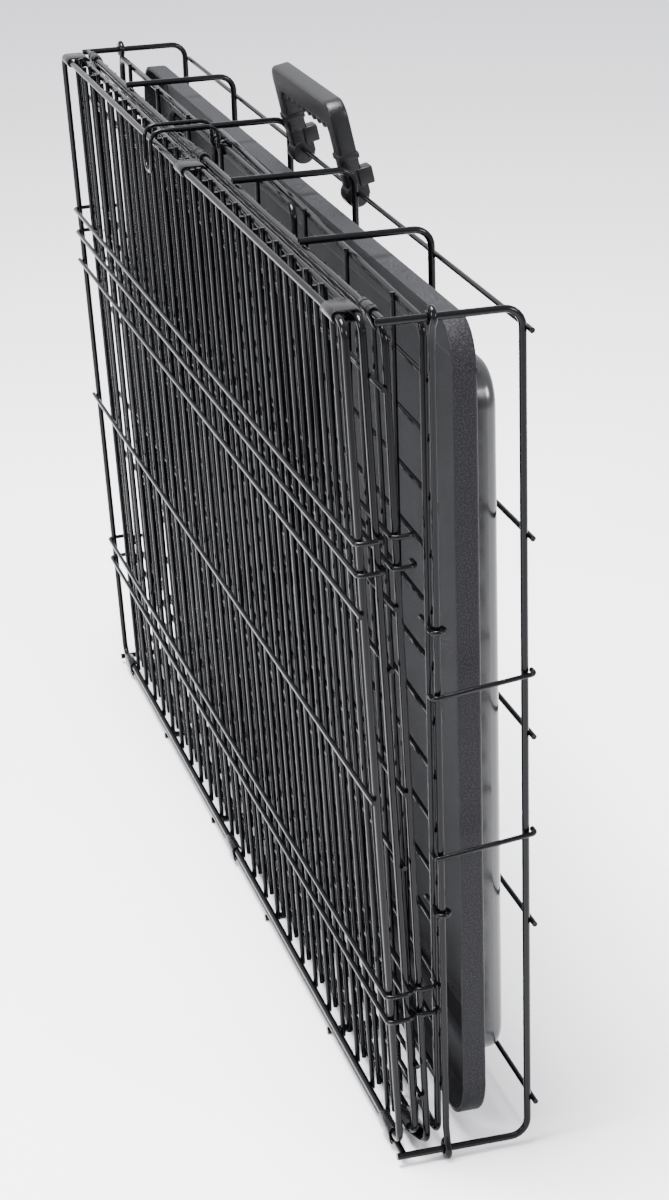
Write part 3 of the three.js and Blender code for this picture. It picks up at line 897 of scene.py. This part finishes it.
class CRATE_OT_handle(bpy.types.Operator):
    """Mould the carrying handle with its grip, arms, collars, feet and gate tabs"""

    bl_idname = "crate.handle"
    bl_label = "Carrying handle"

    def execute(self, context):
        self.pivot = at(0, (middle_of("floor_long_wire_5").y - LIP.y) / MM - 0.4, FLOOR_TOP_Z)
        parts = [self.bow(), *self.ridges()]
        for x in HANDLE_FEET:
            parts += self.foot(x)
        handle = join(parts)
        only(handle)
        bpy.ops.transform.rotate(value=-HANDLE_LEAN, orient_axis="X", center_override=self.pivot)
        settle(handle)
        piece(handle, "handle_moulding", "handle", ["carry_handle"], "handle_plastic",
              handle_plastic(), angle=40)
        return {"FINISHED"}

    def spot(self, x, y, z):
        return self.pivot + Vector((x, y, z)) * MM

    def soften(self, obj, width, segments=3):
        only(obj)
        edge = obj.modifiers.new("Edge", "BEVEL")
        edge.width = width * MM
        edge.segments = segments
        edge.limit_method = "ANGLE"
        edge.angle_limit = math.radians(40)
        bpy.ops.object.modifier_apply(modifier=edge.name)
        return obj

    def bow(self):
        """The bar and both arms, from one block whose arms are drawn down out of it."""
        left = HANDLE_FEET[0] - HANDLE_ARM / 2
        right = HANDLE_FEET[1] + HANDLE_ARM / 2
        half = HANDLE_THICK / 2
        bar = 19
        obj = block(self.spot(left, -half, HANDLE_GRIP - bar), self.spot(right, half, HANDLE_GRIP))
        bpy.ops.object.mode_set(mode="EDIT")
        for x in (left + HANDLE_ARM, right - HANDLE_ARM):
            bpy.ops.mesh.select_all(action="SELECT")
            bpy.ops.mesh.bisect(plane_co=self.spot(x, 0, 0), plane_no=(1, 0, 0))
        under = self.spot(0, 0, HANDLE_GRIP - bar).z
        inside_left, inside_right = self.spot(left + HANDLE_ARM, 0, 0).x, self.spot(
            right - HANDLE_ARM, 0, 0).x
        select_faces(obj, lambda c, n: n.z < -0.9 and not inside_left < c.x < inside_right)
        drop = -(HANDLE_GRIP - bar - 14) * MM
        bpy.ops.mesh.extrude_region_move(TRANSFORM_OT_translate={"value": (0, 0, drop)})
        bpy.ops.object.mode_set(mode="OBJECT")
        top = self.spot(0, 0, HANDLE_GRIP).z
        ends = (self.spot(left, 0, 0).x, self.spot(right, 0, 0).x)
        near = 0.1 * MM

        def shoulder(a, b):
            return (abs(a.z - top) < near and abs(b.z - top) < near
                    and any(abs(a.x - e) < near and abs(b.x - e) < near for e in ends))

        select_edges(obj, shoulder)
        bpy.ops.mesh.bevel(offset=13 * MM, offset_type="OFFSET", segments=7, affect="EDGES")

        def armpit(a, b):
            return (abs(a.z - under) < near and abs(b.z - under) < near
                    and any(abs(a.x - e) < near and abs(b.x - e) < near
                            for e in (inside_left, inside_right)))

        select_edges(obj, armpit)
        bpy.ops.mesh.bevel(offset=7 * MM, offset_type="OFFSET", segments=5, affect="EDGES")
        bpy.ops.object.mode_set(mode="OBJECT")
        return self.soften(obj, 2.2)

    def ridges(self):
        """The finger ridges under the bar."""
        bpy.ops.object.select_all(action="DESELECT")
        bpy.ops.mesh.primitive_cylinder_add(
            vertices=20, radius=5.2 * MM, depth=(HANDLE_THICK - 2.4) * MM,
            location=self.spot(-50, 0, HANDLE_GRIP - 19), rotation=(math.pi / 2, 0, 0),
        )
        ridge = settle(bpy.context.object)
        return [row(self.soften(ridge, 1.0, 2), 8, (14.2 * MM, 0, 0))]

    def foot(self, x):
        half = HANDLE_THICK / 2
        collar = self.soften(block(self.spot(x - 9.3, -half - 0.9, 24),
                                   self.spot(x + 9.3, half + 0.9, 29)), 1.0, 2)
        shank = self.soften(block(self.spot(x - 8, -half + 0.6, -2),
                                  self.spot(x + 8, half - 0.6, 26)), 1.5)
        bpy.ops.object.select_all(action="DESELECT")
        bpy.ops.mesh.primitive_cylinder_add(
            vertices=32, radius=9.2 * MM, depth=17 * MM, location=self.spot(x, 0, -3),
            rotation=(0, math.pi / 2, 0),
        )
        barrel = self.soften(settle(bpy.context.object), 1.6)
        tab = self.soften(block(self.spot(x - 4, 3, 3), self.spot(x + 9, 15, 16)), 1.2)
        neck = self.soften(block(self.spot(x - 2, 2, -5), self.spot(x + 8, 10, 8)), 1.5)
        return [collar, shank, barrel, tab, neck]


# ---- stage ---------------------------------------------------------------------------------


class CRATE_OT_stage(bpy.types.Operator):
    """Lay the pale floor, hang the soft lights and place the camera"""

    bl_idname = "crate.stage"
    bl_label = "Stage"

    def execute(self, context):
        scene = context.scene
        bpy.ops.object.select_all(action="DESELECT")
        bpy.ops.mesh.primitive_plane_add(size=24, location=(0, 0, 0))
        ground = bpy.context.object
        ground.name = "studio_floor"
        pale = bpy.data.materials.new("Pale floor")
        pale.use_nodes = True
        shader = pale.node_tree.nodes["Principled BSDF"]
        shader.inputs["Base Color"].default_value = (0.9, 0.9, 0.93, 1)
        shader.inputs["Roughness"].default_value = 0.9
        shader.inputs["Specular IOR Level"].default_value = 0.1
        ground.data.materials.append(pale)

        world = bpy.data.worlds.new("Studio") if scene.world is None else scene.world
        scene.world = world
        world.use_nodes = True
        backdrop = world.node_tree.nodes["Background"]
        backdrop.inputs["Color"].default_value = (0.97, 0.975, 1, 1)
        backdrop.inputs["Strength"].default_value = 1.35

        for name, place, size, power in (
            ("top_light", (0.1, -0.4, 2.4), 1.1, 300),
            ("left_light", (0.8, -2.6, 1.5), 0.8, 75),
            ("end_light", (2.4, 2.0, 1.7), 0.9, 80),
        ):
            bpy.ops.object.light_add(type="AREA", location=place)
            lamp = bpy.context.object
            lamp.name = name
            lamp.data.size = size
            lamp.data.energy = power
            aim = Vector((0, 0, 0.3)) - Vector(place)
            lamp.rotation_euler = aim.to_track_quat("-Z", "Y").to_euler()

        self.camera(scene)
        return {"FINISHED"}

    def camera(self, scene):
        azimuth, elevation, roll = (math.radians(a) for a in (74.92, 21.92, -1.89))
        back = Vector((math.sin(azimuth) * math.cos(elevation),
                       -math.cos(azimuth) * math.cos(elevation), math.sin(elevation)))
        right = Vector((0, 0, 1)).cross(back).normalized()
        up = back.cross(right)
        turned_right = math.cos(roll) * right + math.sin(roll) * up
        turned_up = back.cross(turned_right)
        bpy.ops.object.camera_add(location=at(2007.6, -453.7, 1056.0))
        camera = bpy.context.object
        camera.name = "studio_camera"
        axes = Matrix((turned_right, turned_up, back)).transposed()
        camera.rotation_euler = axes.to_euler()
        camera.data.sensor_fit = "HORIZONTAL"
        camera.data.sensor_width = 36
        camera.data.lens = 150.8
        camera.data.clip_end = 50
        scene.camera = camera


# ---- panel, registration and run -------------------------------------------------------------

OPERATORS = (
    CRATE_OT_floor, CRATE_OT_end_bars, CRATE_OT_end_panels, CRATE_OT_inner_side,
    CRATE_OT_top_panel, CRATE_OT_outer_side, CRATE_OT_hinge_clips, CRATE_OT_tray,
    CRATE_OT_pan_stop, CRATE_OT_closure_hook, CRATE_OT_handle, CRATE_OT_stage,
)


class CRATE_PT_build(bpy.types.Panel):
    """Sizes, colours and building steps of the crate"""

    bl_idname = "CRATE_PT_build"
    bl_label = "Wire crate"
    bl_space_type = "VIEW_3D"
    bl_region_type = "UI"
    bl_category = "Crate"

    def draw(self, context):
        for group in (wires(), sheet(), colours()):
            box = self.layout.box()
            for name in group.bl_rna.properties.keys():
                if name not in ("rna_type", "name"):
                    box.prop(group, name)
        for operator in OPERATORS:
            self.layout.operator(operator.bl_idname)


GROUPS = {"crate_wires": CrateWires, "crate_sheet": CrateSheet, "crate_colours": CrateColours}
CLASSES = (*GROUPS.values(), *OPERATORS, CRATE_PT_build)


def register():
    for cls in CLASSES:
        bpy.utils.register_class(cls)
    for name, group in GROUPS.items():
        setattr(bpy.types.Scene, name, bpy.props.PointerProperty(type=group))


def unregister():
    for name in GROUPS:
        delattr(bpy.types.Scene, name)
    for cls in reversed(CLASSES):
        bpy.utils.unregister_class(cls)


def main():
    register()
    for operator in OPERATORS:
        call = getattr(bpy.ops.crate, operator.bl_idname.split(".")[1])
        call()


if __name__ == "__main__":
    main()
